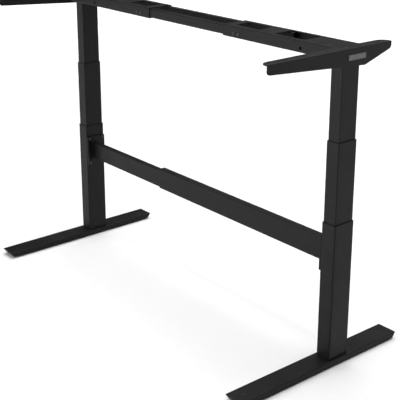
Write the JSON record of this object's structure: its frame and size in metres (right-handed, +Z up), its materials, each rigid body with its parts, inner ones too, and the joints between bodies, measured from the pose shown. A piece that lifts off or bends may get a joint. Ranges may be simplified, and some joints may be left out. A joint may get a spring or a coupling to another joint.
{
  "type": "standing desk frame",
  "caption": "Height-adjustable desk frame: two three-stage lifting columns on flat feet, a telescopic top frame with side brackets, and a telescopic crossbar.",
  "frame": {"origin": "on the floor, under the middle of the two feet", "axes": "+X along the desk towards the right leg, +Y from the user to the back, +Z up"},
  "size_m": [1.4828, 0.696, 1.0385],
  "materials": {
    "powder_coat": "fine black satin powder coat on folded and drawn steel",
    "plain_plate": "bare grey satin plate",
    "black_screws": "blackened steel screws",
    "zinc_steel": "zinc plated steel screws",
    "ground_steel": "bright rolled screw steel",
    "cast_alloy": "die-cast alloy",
    "motor_can": "painted motor can",
    "black_plastic": "moulded black nylon"
  },
  "bodies": {
    "base_right": {"right_foot": "powder_coat", "right_foot_bolts": "zinc_steel", "right_outer_tube": "powder_coat", "right_outer_glides": "black_plastic", "right_fixed_screw": "ground_steel", "right_crossbar_plate": "powder_coat", "right_crossbar_bolts": "black_screws", "crossbar_outer": "powder_coat", "crossbar_lock_screws": "black_screws"},
    "base_left": {"left_foot": "powder_coat", "left_foot_bolts": "zinc_steel", "left_outer_tube": "powder_coat", "left_outer_glides": "black_plastic", "left_fixed_screw": "ground_steel", "left_crossbar_plate": "powder_coat", "left_crossbar_bolts": "black_screws", "crossbar_inner": "powder_coat"},
    "middle_right": {"right_middle_tube": "powder_coat", "right_middle_glides": "black_plastic", "right_middle_block": "cast_alloy", "right_screw_bearing": "ground_steel"},
    "middle_left": {"left_middle_tube": "powder_coat", "left_middle_glides": "black_plastic", "left_middle_block": "cast_alloy", "left_screw_bearing": "ground_steel"},
    "top_right": {"right_inner_tube": "powder_coat", "right_inner_glides": "black_plastic", "right_lift_nut": "cast_alloy", "right_gearbox": "cast_alloy", "right_motor": "motor_can", "right_head_plate": "powder_coat", "right_head_screws": "black_screws", "right_end_frame": "powder_coat", "right_side_bracket": "powder_coat", "right_bracket_screws": "black_screws", "right_rail_lock_screws": "zinc_steel", "badge_plate": "plain_plate"},
    "top_left": {"left_inner_tube": "powder_coat", "left_inner_glides": "black_plastic", "left_lift_nut": "cast_alloy", "left_gearbox": "cast_alloy", "left_motor": "motor_can", "left_head_plate": "powder_coat", "left_head_screws": "black_screws", "left_end_frame": "powder_coat", "left_side_bracket": "powder_coat", "left_bracket_screws": "black_screws", "left_rail_lock_screws": "zinc_steel"},
    "rails": {"front_rail": "powder_coat", "rear_rail": "powder_coat"},
    "screw_right": {"right_hollow_screw": "ground_steel"},
    "shaft_right": {"right_drive_shaft": "ground_steel"},
    "right_front_pad": {"right_front_leveler": "black_plastic"},
    "right_rear_pad": {"right_rear_leveler": "black_plastic"},
    "screw_left": {"left_hollow_screw": "ground_steel"},
    "shaft_left": {"left_drive_shaft": "ground_steel"},
    "left_front_pad": {"left_front_leveler": "black_plastic"},
    "left_rear_pad": {"left_rear_leveler": "black_plastic"}
  },
  "joints": [
    {"name": "lift", "type": "slide", "parent": "base_right", "child": "top_right", "axis": [0, 0, 1], "range_m": [-0.46, 0.21]},
    {"name": "frame_width", "type": "slide", "parent": "base_right", "child": "base_left", "axis": [-1, 0, 0], "range_m": [-0.37, 0.35]},
    {"name": "middle_right_slide", "type": "slide", "parent": "base_right", "child": "middle_right", "axis": [0, 0, 1], "range_m": [-0.23, 0.105]},
    {"name": "middle_left_slide", "type": "slide", "parent": "base_left", "child": "middle_left", "axis": [0, 0, 1], "range_m": [-0.23, 0.105]},
    {"name": "rails_slide", "type": "slide", "parent": "top_right", "child": "rails", "axis": [-1, 0, 0], "range_m": [-0.185, 0.175]},
    {"name": "top_left_slide", "type": "slide", "parent": "top_right", "child": "top_left", "axis": [-1, 0, 0], "range_m": [-0.37, 0.35]},
    {"name": "screw_right_turn", "type": "hinge", "parent": "middle_right", "child": "screw_right", "pos_m": [0.69, 0.076, 0.45], "axis": [0, 0, 1], "range_deg": [-10352, 4727]},
    {"name": "shaft_right_turn", "type": "hinge", "parent": "top_right", "child": "shaft_right", "pos_m": [0.69, 0.076, 0.7], "axis": [0, 0, 1], "range_deg": [-10352, 4727]},
    {"name": "right_front_pad_turn", "type": "hinge", "parent": "base_right", "child": "right_front_pad", "pos_m": [0.69, -0.306, 0.012], "axis": [0, 0, 1], "continuous": true},
    {"name": "right_rear_pad_turn", "type": "hinge", "parent": "base_right", "child": "right_rear_pad", "pos_m": [0.69, 0.306, 0.012], "axis": [0, 0, 1], "continuous": true},
    {"name": "screw_left_turn", "type": "hinge", "parent": "middle_left", "child": "screw_left", "pos_m": [-0.69, 0.076, 0.45], "axis": [0, 0, 1], "range_deg": [-10352, 4727]},
    {"name": "shaft_left_turn", "type": "hinge", "parent": "top_left", "child": "shaft_left", "pos_m": [-0.69, 0.076, 0.7], "axis": [0, 0, 1], "range_deg": [-10352, 4727]},
    {"name": "left_front_pad_turn", "type": "hinge", "parent": "base_left", "child": "left_front_pad", "pos_m": [-0.69, -0.306, 0.012], "axis": [0, 0, 1], "continuous": true},
    {"name": "left_rear_pad_turn", "type": "hinge", "parent": "base_left", "child": "left_rear_pad", "pos_m": [-0.69, 0.306, 0.012], "axis": [0, 0, 1], "continuous": true}
  ],
  "couplings": [
    {"joint": "middle_right_slide", "follows": "lift", "ratio": 0.5},
    {"joint": "middle_left_slide", "follows": "lift", "ratio": 0.5},
    {"joint": "rails_slide", "follows": "frame_width", "ratio": 0.5},
    {"joint": "top_left_slide", "follows": "frame_width", "ratio": 1},
    {"joint": "screw_right_turn", "follows": "lift", "rad_per_m": 392.7},
    {"joint": "shaft_right_turn", "follows": "lift", "rad_per_m": 392.7},
    {"joint": "screw_left_turn", "follows": "lift", "rad_per_m": 392.7},
    {"joint": "shaft_left_turn", "follows": "lift", "rad_per_m": 392.7}
  ]
}
